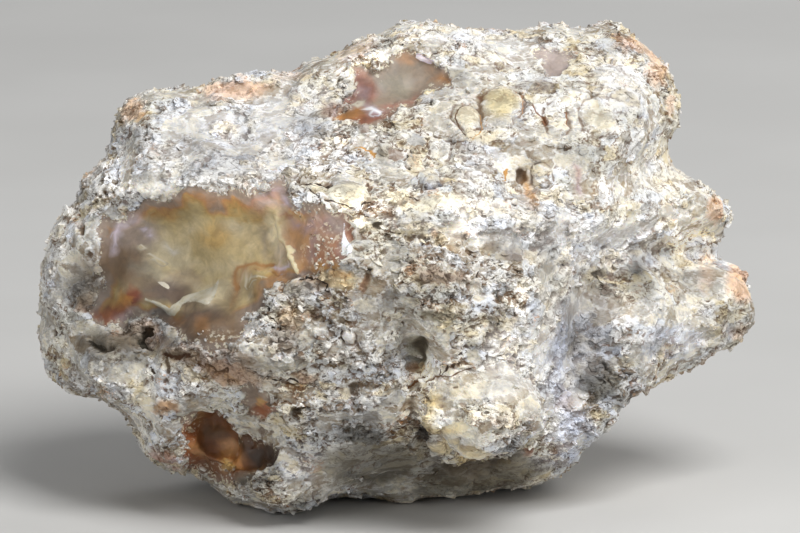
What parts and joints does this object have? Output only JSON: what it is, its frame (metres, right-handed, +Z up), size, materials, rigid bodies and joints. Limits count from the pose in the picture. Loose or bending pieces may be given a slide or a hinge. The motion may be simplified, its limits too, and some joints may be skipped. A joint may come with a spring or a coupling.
{
  "type": "fortification agate",
  "caption": "Rough natural agate nodule with a craggy chalky crust, waxy banded windows, an overhanging knob and a flat patch to rest on.",
  "frame": {"origin": "on the surface that the stone rests on, below the middle of its box", "axes": "+X to the right along the stone's length, seen from the side with the large window; +Y away from that side, towards the back; +Z up"},
  "size_m": [0.0802, 0.0518, 0.0518],
  "materials": {
    "agate": "chalky pale crust over waxy, partly see-through grey, honey and rust coloured chalcedony"
  },
  "bodies": {
    "root": {"agate_nodule": "agate"}
  },
  "joints": []
}
